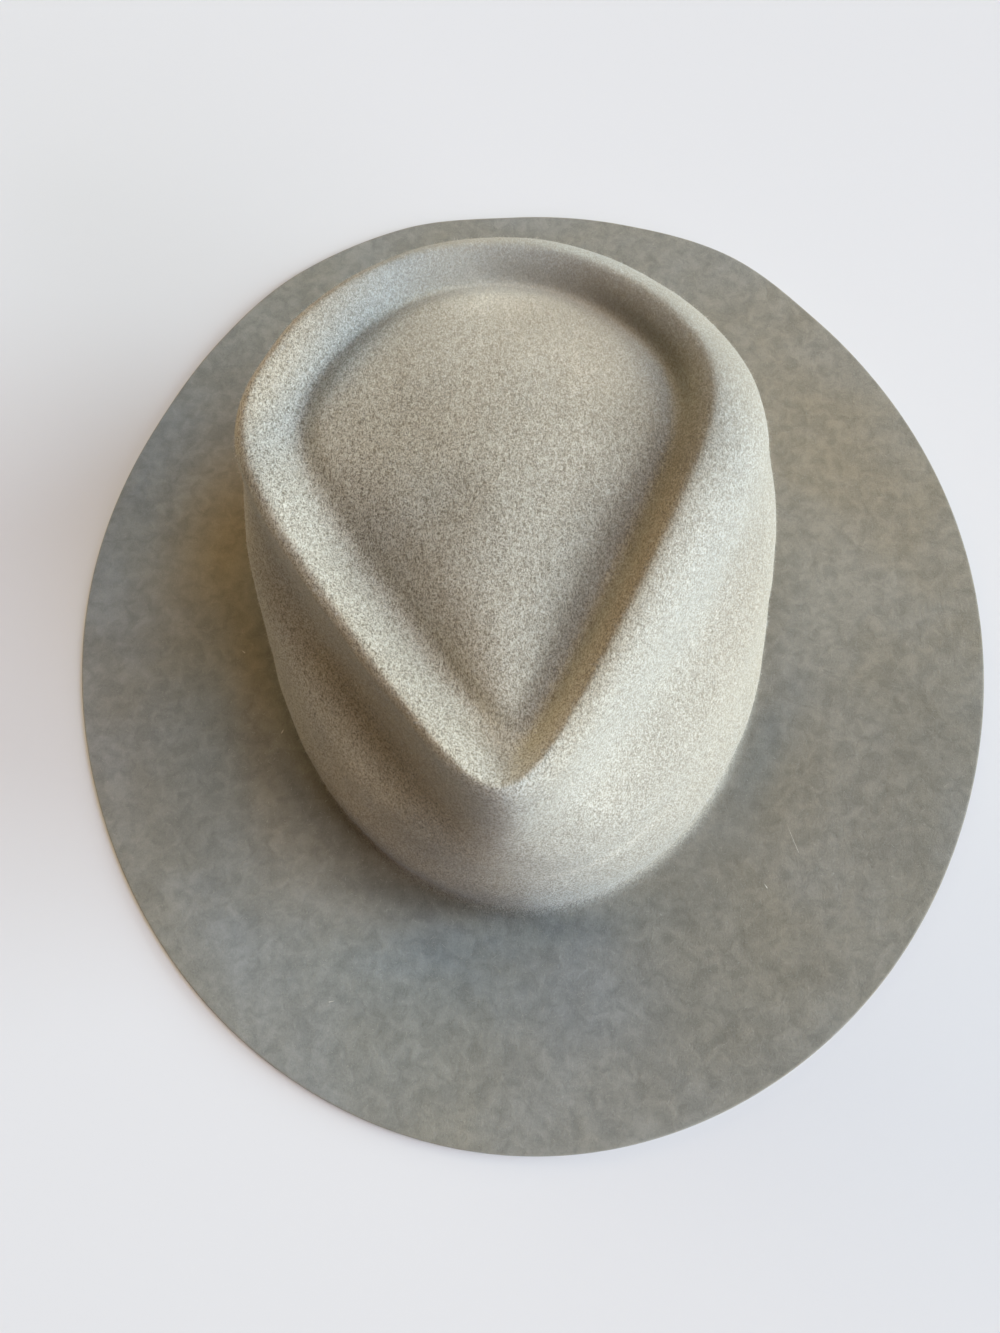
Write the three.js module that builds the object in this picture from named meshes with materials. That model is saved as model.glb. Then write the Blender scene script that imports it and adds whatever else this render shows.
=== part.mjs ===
// Fedora in wool felt: one blocked felt wall that makes the crown and the flat brim.
// Millimetres, +Z up, the hat's front towards -Y, the brim lying flat on z = 0.

import * as THREE from "three";

// Brim
const BRIM_WIDTH = 336.6;
const BRIM_FRONT = 185.4;
const BRIM_BACK = 180.8;
const FELT = 2.0;
const BREAK_RADIUS = 4.0;

// Crown, measured on its outside
const CROWN_WIDTH = 173.4;
const CROWN_LENGTH = 211.0;
const CROWN_HEIGHT = 107.0;

// Where the crown's foot stands on the brim, and how its top drifts from there
const FOOT_X = -2.6;
const FOOT_Y = -2.6;
const TOP_SHIFT_X = -5.1;
const TOP_SHIFT_Y = 7.6;

// Bearing of the two straight flanks of the teardrop from the nose, and how crisply they
// meet each other and the round back
const FLANK_BEARING = 58;
const CORNER = 8;

// Bearings, in degrees from the nose, at which the sections' heights are stated
const STATIONS = [0, FLANK_BEARING, 100, 180];

// One row per ring, from the middle of the top to the foot. flank and side are distances
// from the crown's axis as shares of half its width; nose and back are shares of half its
// length; the z columns are shares of the rise from foot to crest at the same four places.
// lean is the bearing that the ring's straight flanks face and turn how far the ring is
// turned, in degrees; across is how far it sits off the axis, a share of half the width.
const SECTIONS = [
  { ring: "dome", nose: 0.322, flank: 0.288, side: 0.358, back: 0.332,
    zNose: 0.911, zFlank: 0.918, zSide: 0.936, zBack: 0.946,
    lean: 60, turn: -1.3, across: -0.023 },
  { ring: "island", nose: 0.569, flank: 0.392, side: 0.636, back: 0.588,
    zNose: 0.852, zFlank: 0.866, zSide: 0.911, zBack: 0.930,
    lean: 60, turn: -1.3, across: -0.020 },
  { ring: "valley", nose: 0.699, flank: 0.466, side: 0.715, back: 0.657,
    zNose: 0.806, zFlank: 0.838, zSide: 0.886, zBack: 0.900,
    lean: 60, turn: -1.3, across: -0.018 },
  { ring: "inner", nose: 0.776, flank: 0.572, side: 0.783, back: 0.685,
    zNose: 0.872, zFlank: 0.908, zSide: 0.960, zBack: 0.967,
    lean: 60, turn: -0.7, across: -0.025 },
  { ring: "crest", nose: 0.822, flank: 0.629, side: 0.834, back: 0.712,
    zNose: 0.901, zFlank: 0.950, zSide: 0.993, zBack: 1.000,
    lean: 60, turn: -0.4, across: -0.027 },
  { ring: "roll", nose: 0.846, flank: 0.684, side: 0.888, back: 0.755,
    zNose: 0.868, zFlank: 0.920, zSide: 0.960, zBack: 0.972,
    lean: 58, turn: 0.2, across: -0.013 },
  { ring: "shoulder", nose: 0.862, flank: 0.712, side: 0.962, back: 0.780,
    zNose: 0.792, zFlank: 0.832, zSide: 0.888, zBack: 0.911,
    lean: 56, turn: 0.8, across: 0.003 },
  { ring: "dent", nose: 0.889, flank: 0.755, side: 0.988, back: 0.803,
    zNose: 0.594, zFlank: 0.614, zSide: 0.772, zBack: 0.772,
    lean: 56, turn: 1.4, across: 0.006 },
  { ring: "belly", nose: 0.924, flank: 0.972, side: 1.010, back: 0.861,
    zNose: 0.396, zFlank: 0.436, zSide: 0.554, zBack: 0.535,
    lean: 56, turn: 1.1, across: 0.003 },
  { ring: "ledge", nose: 0.946, flank: 1.105, side: 1.025, back: 0.928,
    zNose: 0.238, zFlank: 0.277, zSide: 0.277, zBack: 0.277,
    lean: 56, turn: 0.6, across: 0.000 },
  { ring: "low", nose: 0.982, flank: 1.416, side: 1.022, back: 0.976,
    zNose: 0.089, zFlank: 0.089, zSide: 0.089, zBack: 0.089,
    lean: 56, turn: 0.2, across: 0.000 },
  { ring: "foot", nose: 0.992, flank: 1.561, side: 0.992, back: 0.992,
    zNose: 0.000, zFlank: 0.000, zSide: 0.000, zBack: 0.000,
    lean: 56, turn: 0.0, across: 0.000 },
];

// Height of the island's middle, as a share of the same rise
const POLE_HEIGHT = 0.953;

// The hand-cut edge against a true oval: one row per bearing from the front, + to the
// wearer's left side (+X), reach as a share of the oval's
const EDGE_CUT = [
  { bearing: -165, reach: 1.020 },
  { bearing: -150, reach: 1.022 },
  { bearing: -135, reach: 1.006 },
  { bearing: -120, reach: 0.995 },
  { bearing: -90, reach: 1.000 },
  { bearing: -60, reach: 0.995 },
  { bearing: -30, reach: 0.998 },
  { bearing: 0, reach: 1.001 },
  { bearing: 30, reach: 0.997 },
  { bearing: 60, reach: 0.995 },
  { bearing: 90, reach: 0.997 },
  { bearing: 120, reach: 0.995 },
  { bearing: 135, reach: 0.999 },
  { bearing: 150, reach: 1.018 },
  { bearing: 165, reach: 1.004 },
  { bearing: 180, reach: 1.000 },
];

// Fineness of the felt's grid
const COLUMNS = 80;
const FRONT_CROWDING = 0.35;
const STEPS = [2, 3, 2, 3, 2, 2, 3, 3, 2, 2, 2, 1];
const BREAK_STEPS = 3;
const BRIM_SHARES = [0.12, 0.42, 0.72, 1.0];

const radians = THREE.MathUtils.degToRad;
const CROWN_FOOT = FELT + BREAK_RADIUS;
const CROWN_RISE = CROWN_HEIGHT - CROWN_FOOT;

// Slopes of a smooth curve through given values that never swings past them.
function gentleSlopes(at, value) {
  const last = at.length - 1;
  const step = [];
  const rise = [];
  for (let i = 0; i < last; i += 1) {
    step.push(at[i + 1] - at[i]);
    rise.push((value[i + 1] - value[i]) / step[i]);
  }
  const slope = [rise[0]];
  for (let i = 1; i < last; i += 1) {
    if (rise[i - 1] * rise[i] <= 0) {
      slope.push(0);
    } else {
      const before = 2 * step[i] + step[i - 1];
      const after = step[i] + 2 * step[i - 1];
      slope.push((before + after) / (before / rise[i - 1] + after / rise[i]));
    }
  }
  slope.push(rise[last - 1]);
  return slope;
}

// Value at x of the cubic that joins the neighbouring rows with the given slopes.
function cubicAt(x, at, value, slope) {
  let i = 0;
  while (i < at.length - 2 && x > at[i + 1]) {
    i += 1;
  }
  const span = at[i + 1] - at[i];
  const u = (x - at[i]) / span;
  const low = (1 + 2 * u) * (1 - u) * (1 - u);
  const lowSlope = u * (1 - u) * (1 - u) * span;
  const high = u * u * (3 - 2 * u);
  const highSlope = u * u * (u - 1) * span;
  return low * value[i] + lowSlope * slope[i] + high * value[i + 1] + highSlope * slope[i + 1];
}

// Height of one ring at a bearing: smooth through its four stations, level at nose and back.
function ringHeight(row, bearing) {
  const value = [row.zNose, row.zFlank, row.zSide, row.zBack];
  const slope = gentleSlopes(STATIONS, value);
  slope[0] = 0;
  slope[3] = 0;
  return CROWN_RISE * cubicAt(Math.abs(bearing), STATIONS, value, slope);
}

// Reach of one ring at a bearing: an oval whose front is cut by the two straight flanks.
function ringReach(row, bearing) {
  const side = row.side * CROWN_WIDTH / 2;
  const flank = row.flank * CROWN_WIDTH / 2;
  const nose = row.nose * CROWN_LENGTH / 2;
  const back = row.back * CROWN_LENGTH / 2;
  const turn = radians(Math.abs(bearing));
  const lean = radians(row.lean);
  const cut = 2 * Math.pow(Math.cos(lean) / flank, CORNER);
  const left = Math.max(Math.pow(nose, -CORNER) - cut, Math.pow(4 * nose, -CORNER));
  const front = Math.pow(left, -1 / CORNER);
  const along = turn < Math.PI / 2 ? front : back;
  const oval = Math.hypot(Math.sin(turn) / side, Math.cos(turn) / along);
  const near = Math.max(Math.cos(turn - lean), 0) / flank;
  const far = Math.max(Math.cos(turn + lean), 0) / flank;
  const sum = Math.pow(oval, CORNER) + Math.pow(near, CORNER) + Math.pow(far, CORNER);
  return Math.pow(sum, -1 / CORNER);
}

// Reach of the cut brim edge at a bearing from the front.
function edgeReach(bearing) {
  const rows = EDGE_CUT.length;
  const at = [];
  const value = [];
  for (let i = -2; i < rows + 2; i += 1) {
    const row = EDGE_CUT[(i + rows) % rows];
    at.push(row.bearing + 360 * Math.floor(i / rows));
    value.push(row.reach);
  }
  const cut = cubicAt(bearing, at, value, gentleSlopes(at, value));
  const turn = radians(bearing);
  const along = Math.abs(bearing) < 90 ? BRIM_FRONT : BRIM_BACK;
  return cut / Math.hypot(Math.sin(turn) / (BRIM_WIDTH / 2), Math.cos(turn) / along);
}

// The axis of the crown drifts as it rises; this puts one ring point in place.
function crownPoint(bearing, reach, height, twist, across) {
  const rise = height / CROWN_RISE;
  const turn = radians(bearing - twist);
  const x = FOOT_X + TOP_SHIFT_X * rise + across + reach * Math.sin(turn);
  const y = FOOT_Y + TOP_SHIFT_Y * rise - reach * Math.cos(turn);
  return new THREE.Vector3(x, y, CROWN_FOOT + height);
}

// The middle of the crown's top.
function crownPole() {
  const across = SECTIONS[0].across * CROWN_WIDTH / 2;
  return crownPoint(0, 0, POLE_HEIGHT * CROWN_RISE, 0, across);
}

// One column of the outer face, from the ring next to the pole out to the brim's edge.
function outerColumn(bearing) {
  const reach = [0];
  const height = [POLE_HEIGHT * CROWN_RISE];
  const twist = [SECTIONS[0].turn];
  const across = [SECTIONS[0].across * CROWN_WIDTH / 2];
  const along = [0];
  for (const row of SECTIONS) {
    reach.push(ringReach(row, bearing));
    height.push(ringHeight(row, bearing));
    twist.push(row.turn);
    across.push(row.across * CROWN_WIDTH / 2);
    const i = reach.length - 1;
    const gap = Math.hypot(reach[i] - reach[i - 1], height[i] - height[i - 1]);
    along.push(along[i - 1] + gap);
  }
  const lines = [reach, height, twist, across];
  const slopes = lines.map((line) => gentleSlopes(along, line));
  slopes[1][0] = 0;
  const column = [];
  STEPS.forEach((steps, i) => {
    for (let k = 1; k <= steps; k += 1) {
      const x = along[i] + (along[i + 1] - along[i]) * k / steps;
      const place = lines.map((line, n) => cubicAt(x, along, line, slopes[n]));
      column.push(crownPoint(bearing, ...place));
    }
  });
  const foot = reach[reach.length - 1];
  for (let k = 1; k <= BREAK_STEPS; k += 1) {
    const turn = Math.PI / 2 * k / BREAK_STEPS;
    const r = foot + BREAK_RADIUS * (1 - Math.cos(turn));
    column.push(crownPoint(bearing, r, -BREAK_RADIUS * Math.sin(turn), 0, 0));
  }
  const root = column[column.length - 1];
  root.z = FELT;
  const turn = radians(bearing);
  const edge = new THREE.Vector3(Math.sin(turn), -Math.cos(turn), 0);
  edge.multiplyScalar(edgeReach(bearing));
  edge.z = FELT;
  for (const share of BRIM_SHARES) {
    column.push(root.clone().lerp(edge, share));
  }
  return column;
}

// All columns round the hat, closer together at the nose where the folds are tight.
function outerGrid() {
  const grid = [];
  for (let j = 0; j < COLUMNS; j += 1) {
    const turn = 2 * Math.PI * j / COLUMNS - Math.PI;
    grid.push(outerColumn(THREE.MathUtils.radToDeg(turn - FRONT_CROWDING * Math.sin(turn))));
  }
  return grid;
}

// The inner face lies one felt thickness behind the outer one; under the brim it is level.
function innerGrid(grid, pole) {
  const flatFrom = grid[0].length - BRIM_SHARES.length - 1;
  return grid.map((column, j) => column.map((point, i) => {
    if (i >= flatFrom) {
      return new THREE.Vector3(point.x, point.y, point.z - FELT);
    }
    const before = grid[(j + COLUMNS - 1) % COLUMNS][i];
    const after = grid[(j + 1) % COLUMNS][i];
    const inward = i > 0 ? column[i - 1] : pole;
    const outward = column[i + 1];
    const round = after.clone().sub(before);
    const down = outward.clone().sub(inward);
    const normal = down.cross(round).normalize();
    return point.clone().addScaledVector(normal, -FELT);
  }));
}

// Closed wall from the two faces and the cut edge that joins them.
function feltGeometry() {
  const outer = outerGrid();
  const pole = crownPole();
  const inner = innerGrid(outer, pole);
  const underPole = pole.clone();
  underPole.z -= FELT;
  const rings = outer[0].length;
  const points = [pole, underPole];
  for (const face of [outer, inner]) {
    for (const column of face) {
      points.push(...column);
    }
  }
  const at = (face, j, i) => 2 + (face * COLUMNS + (j % COLUMNS)) * rings + i;
  const faces = [];
  for (let j = 0; j < COLUMNS; j += 1) {
    faces.push(0, at(0, j, 0), at(0, j + 1, 0));
    faces.push(1, at(1, j + 1, 0), at(1, j, 0));
    for (let i = 0; i < rings - 1; i += 1) {
      faces.push(at(0, j, i), at(0, j, i + 1), at(0, j + 1, i + 1));
      faces.push(at(0, j, i), at(0, j + 1, i + 1), at(0, j + 1, i));
      faces.push(at(1, j, i), at(1, j + 1, i + 1), at(1, j, i + 1));
      faces.push(at(1, j, i), at(1, j + 1, i), at(1, j + 1, i + 1));
    }
    const edge = rings - 1;
    faces.push(at(0, j, edge), at(1, j, edge), at(1, j + 1, edge));
    faces.push(at(0, j, edge), at(1, j + 1, edge), at(0, j + 1, edge));
  }
  const geometry = new THREE.BufferGeometry().setFromPoints(points);
  geometry.setIndex(faces);
  return geometry;
}

// The origin is in the middle of the brim's outline, on the surface that it lies on.
function centred(geometry) {
  geometry.computeBoundingBox();
  const middle = geometry.boundingBox.getCenter(new THREE.Vector3());
  geometry.translate(-middle.x, -middle.y, -geometry.boundingBox.min.z);
  geometry.computeVertexNormals();
  return geometry;
}

const felt = new THREE.MeshStandardMaterial({ color: 0x8f8873, roughness: 0.95, metalness: 0.0 });
felt.name = "wool_felt";

const body = new THREE.Mesh(centred(feltGeometry()), felt);
body.name = "felt_body";

const hat = new THREE.Group();
hat.name = "fedora";
hat.add(body);

export default hat;
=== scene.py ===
"""Wool felt fedora lying on its brim: the dressed model of one blocked felt body.

The felt is one closed surface worked out on a grid: bearing round the hat one way, and
the way along the felt, from the middle of the crown's top out to the cut edge and back
along the inside, the other way. Everything is in metres in the frame's axes.
"""
import logging
import math
from dataclasses import dataclass, field
from enum import Enum
from typing import Sequence

import bpy
import numpy as np
from mathutils import Matrix, Vector


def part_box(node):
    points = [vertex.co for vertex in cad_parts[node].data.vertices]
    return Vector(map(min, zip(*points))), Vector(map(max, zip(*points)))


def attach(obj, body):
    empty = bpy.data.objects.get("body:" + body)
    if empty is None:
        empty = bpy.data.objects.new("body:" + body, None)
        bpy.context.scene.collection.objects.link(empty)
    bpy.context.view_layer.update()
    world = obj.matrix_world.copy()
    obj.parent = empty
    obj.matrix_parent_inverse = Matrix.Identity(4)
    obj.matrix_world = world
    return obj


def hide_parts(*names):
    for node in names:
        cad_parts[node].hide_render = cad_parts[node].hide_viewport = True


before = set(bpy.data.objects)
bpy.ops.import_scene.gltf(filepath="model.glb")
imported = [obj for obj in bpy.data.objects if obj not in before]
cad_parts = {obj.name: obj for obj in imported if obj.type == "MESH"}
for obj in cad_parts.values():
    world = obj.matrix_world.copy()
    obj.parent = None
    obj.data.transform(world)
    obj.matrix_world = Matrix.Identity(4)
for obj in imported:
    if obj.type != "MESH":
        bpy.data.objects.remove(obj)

log = logging.getLogger("fedora")
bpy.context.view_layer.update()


# Sizes

@dataclass(frozen=True)
class Ring:
    """One ring of the crown: its reach at four places and its rise at the same places.

    nose and back are shares of half the crown's length, right and left (the distances of
    the two straight flanks), side and across shares of
    half its width; the z values are shares of the rise from the crown's foot to its
    crest. lean is the bearing its straight flanks face, skew what its left flank adds
    to that and turn how far the ring is turned, all in degrees; across is how far the
    ring sits off the crown's axis.
    """

    name: str
    nose: float
    right: float
    left: float
    side: float
    back: float
    z_nose: float
    z_flank: float
    z_side: float
    z_back: float
    lean: float
    turn: float
    across: float
    skew: float


RINGS: tuple[Ring, ...] = (
    Ring("dome", 0.322, 0.288, 0.288, 0.358, 0.332, 0.911, 0.918, 0.936, 0.946, 60, -1.3, -0.023, -1.0),
    Ring("island", 0.569, 0.390, 0.402, 0.636, 0.588, 0.852, 0.866, 0.911, 0.930, 60, -1.3, -0.020, -2.0),
    Ring("valley", 0.699, 0.462, 0.482, 0.715, 0.657, 0.802, 0.826, 0.880, 0.896, 60, -1.3, -0.018, -3.5),
    Ring("inner", 0.776, 0.544, 0.592, 0.783, 0.685, 0.872, 0.908, 0.960, 0.967, 60, -0.7, -0.025, -4.0),
    Ring("crest", 0.822, 0.597, 0.652, 0.846, 0.712, 0.901, 0.950, 0.993, 1.000, 60, -0.4, -0.027, -4.0),
    Ring("roll", 0.846, 0.662, 0.702, 0.898, 0.755, 0.868, 0.920, 0.964, 0.972, 58, 0.2, -0.013, -3.5),
    Ring("shoulder", 0.862, 0.702, 0.718, 0.960, 0.780, 0.792, 0.832, 0.888, 0.911, 56, 0.8, 0.003, -1.5),
    Ring("dent", 0.889, 0.750, 0.757, 0.988, 0.803, 0.594, 0.614, 0.772, 0.772, 56, 1.4, 0.006, -0.5),
    Ring("belly", 0.924, 0.972, 0.972, 1.010, 0.861, 0.396, 0.436, 0.554, 0.535, 56, 1.1, 0.003, 0.0),
    Ring("ledge", 0.946, 1.105, 1.105, 1.025, 0.928, 0.238, 0.277, 0.277, 0.277, 56, 0.6, 0.000, 0.0),
    Ring("low", 0.982, 1.416, 1.416, 1.022, 0.976, 0.089, 0.089, 0.089, 0.089, 56, 0.2, 0.000, 0.0),
    Ring("foot", 0.992, 1.561, 1.561, 0.992, 0.992, 0.000, 0.000, 0.000, 0.000, 56, 0.0, 0.000, 0.0),
)

# The hand-cut edge against a true oval: bearing from the front in degrees, reach share.
EDGE_CUT: tuple[tuple[float, float], ...] = (
    (-165, 1.020), (-150, 1.022), (-135, 1.006), (-120, 0.995), (-90, 1.000),
    (-60, 0.995), (-30, 0.998), (0, 1.001), (30, 0.997), (60, 0.995), (90, 0.997),
    (120, 0.995), (135, 0.999), (150, 1.018), (165, 1.004), (180, 1.000),
)


@dataclass(frozen=True)
class Patch:
    """A soft-edged oval patch of the felt seen from above.

    x, along and across are shares of half the crown's width and y of half its length;
    turn is the bearing of its long way from +X, in degrees, and amount its strength.
    """

    name: str
    x: float
    y: float
    along: float
    across: float
    turn: float
    amount: float


# Painted light and shade: where the felt's colour is made lighter to stand in for light falling on it, or
# darker for shade, shadow and contact shadow, in stops.
PAINTED_LIGHT_AND_SHADE: tuple[Patch, ...] = (
    Patch("back_margin", -0.06, 0.68, 0.20, 0.085, 0.0, 0.80),
    Patch("island_top", 0.06, 0.48, 0.27, 0.11, 0.0, 0.35),
    Patch("island_line", 0.188, 0.38, 0.10, 0.010, 90.0, 0.14),
    Patch("island_right", 0.26, 0.36, 0.10, 0.10, 90.0, 0.24),
    Patch("island_middle", -0.30, -0.02, 0.16, 0.12, 20.0, -0.26),
    Patch("island_slope", 0.17, -0.15, 0.30, 0.06, 66.0, -0.36),
    Patch("pinch_tip", -0.10, -0.62, 0.16, 0.085, 90.0, 0.42),
    Patch("left_trench", -0.50, -0.14, 0.28, 0.08, -57.0, -0.38),
    Patch("right_trench", 0.42, 0.0, 0.28, 0.05, 66.0, -0.15),
    Patch("right_rise", 0.31, -0.285, 0.38, 0.035, 65.0, -0.45),
    Patch("left_ridge", -0.52, -0.33, 0.40, 0.07, -54.0, -0.12),
    Patch("left_bottom", -0.69, 0.27, 0.10, 0.05, 85.0, 0.30),
    Patch("low_wall", -0.43, -0.82, 0.14, 0.06, -35.0, -0.40),
    Patch("right_corner", 0.53, 0.12, 0.12, 0.06, 66.0, -0.45),
    Patch("island_left", -0.40, 0.13, 0.24, 0.17, 70.0, -0.42),
    Patch("back_ridge", -0.79, 0.27, 0.36, 0.10, 66.0, -0.46),
    Patch("under_ridge", -0.53, -0.54, 0.34, 0.05, -54.0, -1.0),
    Patch("nose", 0.0, -0.80, 0.16, 0.05, 0.0, -0.20),
    Patch("brim_root", -0.81, -0.71, 0.42, 0.08, -45.0, -0.75),
    Patch("front_root", -0.29, -0.98, 0.28, 0.040, -12.0, -0.75),
    Patch("brim_left", -1.70, 0.50, 0.40, 0.20, 75.0, 0.30),
    Patch("brim_right", 1.55, -0.50, 0.40, 0.25, 75.0, -0.20),
)

# Painted light colour: where the felt's colour is made greyer to stand in for cool light, above nothing,
# or browner for warm reflected light in shade, below nothing.
PAINTED_LIGHT_COLOUR: tuple[Patch, ...] = (
    Patch("back_left", -0.60, 0.49, 0.26, 0.055, 54.0, 0.9),
    Patch("back_ridge", -0.86, 0.33, 0.30, 0.05, 63.0, -0.4),
    Patch("back_right", 0.51, 0.40, 0.22, 0.08, -64.0, 0.6),
    Patch("back_middle", 0.0, 0.74, 0.35, 0.07, 0.0, 0.5),
    Patch("right_wall", 0.63, -0.07, 0.25, 0.07, 66.0, 0.2),
    Patch("brim_left", -1.75, 0.50, 0.50, 0.18, 75.0, 0.9),
    Patch("brim_front", -0.35, -1.19, 0.45, 0.14, -10.0, 0.6),
    Patch("left_ridge", -0.52, -0.33, 0.40, 0.07, -54.0, -0.15),
    Patch("under_ridge", -0.52, -0.52, 0.34, 0.05, -54.0, -1.2),
    Patch("low_wall", -0.54, -0.78, 0.30, 0.09, -42.0, -0.7),
    Patch("island_left", -0.42, 0.22, 0.20, 0.20, 0.0, -0.3),
    Patch("right_rise", 0.31, -0.285, 0.38, 0.035, 65.0, -0.5),
    Patch("pinch_tip", -0.07, -0.69, 0.08, 0.06, 60.0, 0.5),
    Patch("beside_crown", -1.34, 0.38, 0.30, 0.13, 75.0, -0.75),
    Patch("beside_front", -1.18, -0.22, 0.42, 0.07, -80.0, -0.7),
    Patch("beside_right", 0.96, -0.50, 0.20, 0.07, 62.0, 0.7),
    Patch("beside_nose", 0.0, -1.06, 0.34, 0.08, 5.0, 0.7),
    Patch("brim_low", -0.55, -1.42, 0.35, 0.22, -10.0, 0.4),
    Patch("brim_low_left", -1.36, -0.43, 0.50, 0.22, -73.0, 0.8),
    Patch("brim_right", 1.25, -0.45, 0.75, 0.35, 80.0, -0.45),
    Patch("brim_back", 1.40, 0.75, 0.6, 0.30, 110.0, -0.45),
)


@dataclass(frozen=True)
class Stray:
    """A loose fibre lying on the felt; x and y as in a patch, length in metres."""

    x: float
    y: float
    length: float
    turn: float


STRAYS: tuple[Stray, ...] = (
    Stray(-0.62, 0.37, 0.0045, 25.0), Stray(-0.01, 0.73, 0.0020, 80.0),
    Stray(-1.21, -0.09, 0.0016, 140.0), Stray(-1.05, -0.39, 0.0018, 60.0),
    Stray(-0.82, -1.27, 0.0020, 10.0), Stray(0.91, -0.96, 0.0020, 120.0),
    Stray(1.05, -0.85, 0.0110, 107.0), Stray(0.22, 0.30, 0.0018, 35.0),
)


@dataclass(frozen=True)
class HatSizes:
    """Driving sizes of the hat in metres, worked out from the frame's box."""

    brim_width: float
    brim_front: float
    brim_back: float
    crown_width: float
    crown_length: float
    crown_height: float
    felt: float = 0.002
    break_radius: float = 0.004
    edge_round: float = 0.0009
    foot_x: float = -0.0026
    foot_y: float = -0.0026
    top_shift_x: float = -0.0051
    top_shift_y: float = 0.0076
    flank_bearing: float = 58.0
    corner: float = 8.0
    pole_rise: float = 0.953

    @classmethod
    def from_frame(cls, node: str) -> "HatSizes":
        """Reads the body's box and splits it into the hat's own sizes.

        Args:
            node: Name of the CAD node.

        Returns:
            The sizes, in metres.
        """
        low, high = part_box(node)
        width, length, height = high.x - low.x, high.y - low.y, high.z - low.z
        return cls(
            brim_width=width * 1.0010,
            brim_front=length * 0.5058,
            brim_back=length * 0.4933,
            crown_width=width * 0.5157,
            crown_length=length * 0.5757,
            crown_height=height,
        )

    @property
    def crown_foot(self) -> float:
        """Height at which the wall starts to turn out into the brim."""
        return self.felt + self.break_radius

    @property
    def crown_rise(self) -> float:
        """Rise from the crown's foot to its crest."""
        return self.crown_height - self.crown_foot


# Curves

def gentle_slopes(at: np.ndarray, value: np.ndarray) -> np.ndarray:
    """Slopes of a smooth curve that never swings past its values.

    Each inner slope is the weighted harmonic mean of the rises on both sides, or nothing
    where the curve turns back; the end slopes are those of the end spans.

    Args:
        at: Places along the first axis, of one column or of the same shape as value.
        value: Values at those places.

    Returns:
        A slope for each value.
    """
    place = at if at.ndim == value.ndim else at.reshape((-1,) + (1,) * (value.ndim - 1))
    step = np.diff(place, axis=0)
    rise = np.diff(value, axis=0) / step
    before = 2 * step[1:] + step[:-1]
    after = step[1:] + 2 * step[:-1]
    same = rise[:-1] * rise[1:] > 0
    left = np.where(same, rise[:-1], 1.0)
    right = np.where(same, rise[1:], 1.0)
    middle = np.where(same, (before + after) / (before / left + after / right), 0.0)
    return np.concatenate([rise[:1], middle, rise[-1:]])


def cubic_through(x: np.ndarray, at: np.ndarray, value: np.ndarray,
                  slope: np.ndarray) -> np.ndarray:
    """Value at each x of the cubics that join rows with stated slopes.

    Args:
        x: Places asked for, one-dimensional.
        at: Places of the rows.
        value: Values of the rows, rows first.
        slope: Slopes of the rows.

    Returns:
        One row of values for each x.
    """
    i = np.clip(np.searchsorted(at, x) - 1, 0, len(at) - 2)
    shape = (-1,) + (1,) * (value.ndim - 1)
    span = (at[i + 1] - at[i]).reshape(shape)
    u = ((x - at[i]) / (at[i + 1] - at[i])).reshape(shape)
    return ((1 + 2 * u) * (1 - u) ** 2 * value[i] + u * (1 - u) ** 2 * span * slope[i]
            + u * u * (3 - 2 * u) * value[i + 1] + u * u * (u - 1) * span * slope[i + 1])


def smooth_step(low: float, high: float, x: np.ndarray) -> np.ndarray:
    """Rises smoothly from 0 at low to 1 at high."""
    u = np.clip((x - low) / (high - low), 0.0, 1.0)
    return u * u * (3 - 2 * u)


def soft_waves(xy: np.ndarray, longest: float, seed: int, waves: int = 9) -> np.ndarray:
    """Gentle unevenness: a sum of plane sine waves with seeded directions and phases.

    Args:
        xy: Points, the last axis holding x, y and z.
        longest: Longest wavelength in metres; the others go down to a third of it.
        seed: Seed of the directions and phases.
        waves: Number of waves.

    Returns:
        One value for each point, about -1 to 1.
    """
    random = np.random.default_rng(seed)
    direction = random.normal(size=(waves, 3))
    direction /= np.linalg.norm(direction, axis=1, keepdims=True)
    length = longest / random.uniform(1.0, 3.0, waves)
    phase = random.uniform(0, 2 * math.pi, waves)
    turn = np.tensordot(xy, (direction / length[:, None]).T, axes=1) * 2 * math.pi
    return np.sin(turn + phase).sum(axis=-1) / math.sqrt(waves) / 1.4


# Shape of the felt

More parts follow.
